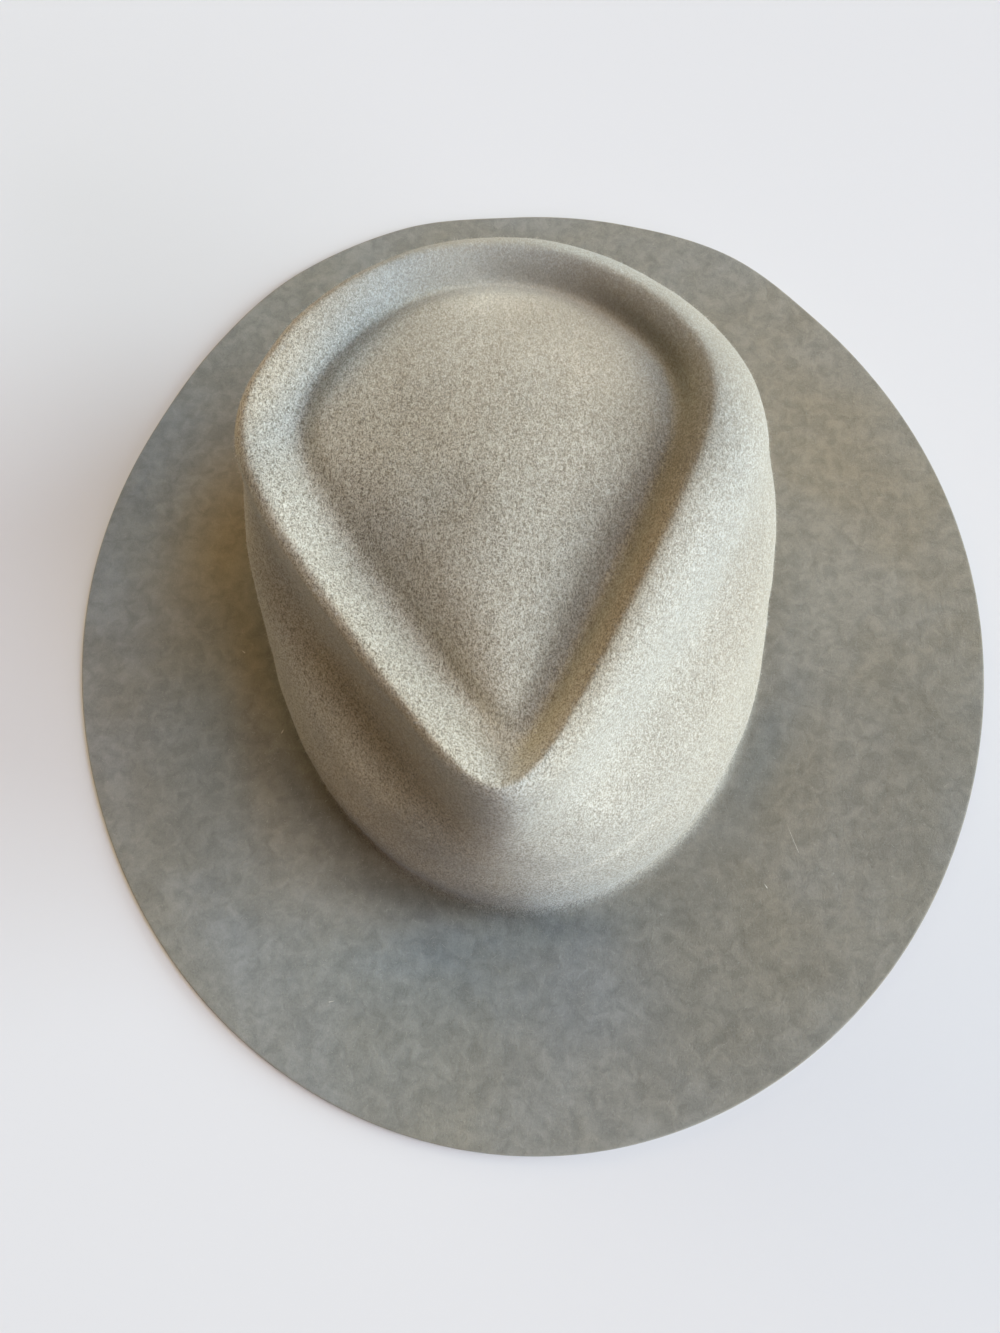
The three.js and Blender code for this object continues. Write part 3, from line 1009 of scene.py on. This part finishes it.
@dataclass(frozen=True)
class HairFinish:
    """The loose hairs: pale fawn on the crown, greyer on the brim."""

    crown: tuple[float, float, float, float] = (0.62, 0.58, 0.48, 1.0)
    brim: tuple[float, float, float, float] = (0.34, 0.325, 0.27, 1.0)

    def make(self) -> bpy.types.Material:
        """Builds the material: a tone that shifts from hair to hair."""
        made = bpy.data.materials.new(Finish.HAIR.value)
        made.use_nodes = True
        made.node_tree.nodes.clear()
        n = Nodes(made.node_tree)
        place = n.add("ShaderNodeTexCoord").outputs["Object"]
        colour = n.blend(n.attribute("crown"), self.brim, self.crown)
        tone = n.add("ShaderNodeHueSaturation")
        n.join(colour, tone.inputs["Color"])
        n.join(n.spread(n.noise(place, 700.0, 1.0), 0.3, 0.7, 0.65, 1.25),
               tone.inputs["Value"])
        surface = n.add("ShaderNodeBsdfPrincipled")
        n.join(tone.outputs["Color"], surface.inputs["Base Color"])
        surface.inputs["Roughness"].default_value = 0.8
        surface.inputs["Specular IOR Level"].default_value = 0.2
        out = n.add("ShaderNodeOutputMaterial")
        n.join(surface.outputs[0], out.inputs["Surface"])
        return made


@dataclass(frozen=True)
class FloorFinish:
    """Plain pale matt floor."""

    colour: tuple[float, float, float, float] = (0.62, 0.61, 0.59, 1.0)

    def make(self) -> bpy.types.Material:
        """Builds the material, with a trace of unevenness."""
        made = bpy.data.materials.new(Finish.FLOOR.value)
        made.use_nodes = True
        made.node_tree.nodes.clear()
        n = Nodes(made.node_tree)
        place = n.add("ShaderNodeTexCoord").outputs["Object"]
        surface = n.add("ShaderNodeBsdfPrincipled")
        surface.inputs["Base Color"].default_value = self.colour
        n.join(n.spread(n.noise(place, 6.0), 0.3, 0.7, 0.75, 0.85),
               surface.inputs["Roughness"])
        out = n.add("ShaderNodeOutputMaterial")
        n.join(surface.outputs[0], out.inputs["Surface"])
        return made


# Studio

@dataclass(frozen=True)
class PhotoCamera:
    """The camera that saw the hat: nearly overhead, a little in front of it."""

    azimuth: float = 4.23
    elevation: float = 72.92
    roll: float = -6.03
    distance: float = 0.37205
    target_x: float = -0.01036
    target_y: float = -0.01740
    pixels_per_unit: float = 1000.0
    long_side: float = 1333.0
    sensor: float = 36.0

    def build(self) -> bpy.types.Object:
        """Makes the camera and hands it to the scene.

        The camera sits on a line from its target at its azimuth and elevation, looks
        back along that line and is rolled about it.

        Returns:
            The camera object.
        """
        a, e, r = (math.radians(v) for v in (self.azimuth, self.elevation, self.roll))
        back = Vector((math.sin(a) * math.cos(e), -math.cos(a) * math.cos(e), math.sin(e)))
        level = Vector((0, 0, 1)).cross(back).normalized()
        up = back.cross(level)
        right = level * math.cos(r) + up * math.sin(r)
        top = up * math.cos(r) - level * math.sin(r)
        place = Vector((self.target_x, self.target_y, 0)) + back * self.distance
        lens = bpy.data.cameras.new("photo_camera")
        lens.sensor_width = self.sensor
        lens.lens = self.sensor * self.pixels_per_unit / self.long_side
        lens.clip_start, lens.clip_end = 0.01, 20.0
        lens.dof.use_dof = False
        camera = bpy.data.objects.new("photo_camera", lens)
        camera.matrix_world = Matrix((
            (right.x, top.x, back.x, place.x),
            (right.y, top.y, back.y, place.y),
            (right.z, top.z, back.z, place.z),
            (0, 0, 0, 1),
        ))
        bpy.context.scene.collection.objects.link(camera)
        bpy.context.scene.camera = camera
        return camera


@dataclass(frozen=True)
class SoftLight:
    """One wide distant light: the glow of a window, a wall or the ceiling."""

    name: str
    bearing: float
    elevation: float
    strength: float
    colour: tuple[float, float, float]
    spread: float = 34.0

    def build(self) -> bpy.types.Object:
        """Makes the light; its bearing runs from +X towards +Y, in degrees."""
        data = bpy.data.lights.new(self.name, "SUN")
        data.energy, data.color = self.strength, self.colour
        data.angle = math.radians(self.spread)
        light = bpy.data.objects.new(self.name, data)
        turn, rise = math.radians(self.bearing), math.radians(self.elevation)
        way = Vector((math.cos(turn) * math.cos(rise), math.sin(turn) * math.cos(rise),
                      math.sin(rise)))
        light.matrix_world = way.to_track_quat("Z", "Y").to_matrix().to_4x4()
        bpy.context.scene.collection.objects.link(light)
        return light


@dataclass
class Studio:
    """Pale floor under a tall cool window on the right, with a warm ceiling."""

    floor_size: float = 6.0
    floor_drop: float = 0.0003
    room: tuple[float, float, float, float] = (0.93, 0.96, 1.0, 1.0)
    room_strength: float = 0.01
    lights: tuple[SoftLight, ...] = (
        SoftLight("window_low", 0.0, 12.0, 5.35, (0.664, 0.843, 1.0)),
        SoftLight("window_front", -45.0, 12.0, 1.56, (0.84, 0.79, 1.0)),
        SoftLight("window_middle", -22.5, 32.0, 1.23, (0.84, 0.935, 1.0)),
        SoftLight("window_high", 0.0, 55.0, 1.55, (0.336, 0.574, 1.0)),
        SoftLight("ceiling", 30.0, 78.0, 1.30, (1.0, 0.69, 0.35)),
        SoftLight("back_wall", 112.5, 32.0, 0.76, (0.97, 1.0, 0.85)),
        SoftLight("back_corner", 135.0, 12.0, 1.10, (1.0, 0.72, 0.43)),
    )

    def build(self) -> None:
        """Builds the floor, the lights and the room's glow."""
        half = self.floor_size / 2
        corners = np.array([[-half, -half, 0], [half, -half, 0], [half, half, 0],
                            [-half, half, 0]]) - [0, 0, self.floor_drop]
        floor = mesh_object("floor", corners, [np.array([[0, 1, 2, 3]])], smooth=False)
        floor.data.materials.append(FloorFinish().make())
        for light in self.lights:
            light.build()
        world = bpy.data.worlds.new("room")
        world.use_nodes = True
        glow = world.node_tree.nodes["Background"]
        glow.inputs["Color"].default_value = self.room
        glow.inputs["Strength"].default_value = self.room_strength
        bpy.context.scene.world = world
        bpy.context.scene.view_settings.view_transform = "Standard"


# Build

def report(piece: bpy.types.Object) -> None:
    """Reports a piece's name and size through the log."""
    mesh = piece.data
    log.info("%s: %d points, %d faces", piece.name, len(mesh.vertices), len(mesh.polygons))


def main() -> None:
    """Builds camera, hat and studio in order."""
    logging.basicConfig(level=logging.INFO, format="%(name)s: %(message)s")
    PhotoCamera().build()
    body = FeltBody(FeltShape(HatSizes.from_frame("felt_body")))
    hat = body.build()
    hat.data.materials.append(FeltFinish().make())
    report(hat)
    nap = Nap(*body.outer(), body.shape.sizes).build()
    nap.data.materials.append(HairFinish().make())
    report(nap)
    Studio().build()


if __name__ == "__main__":
    main()
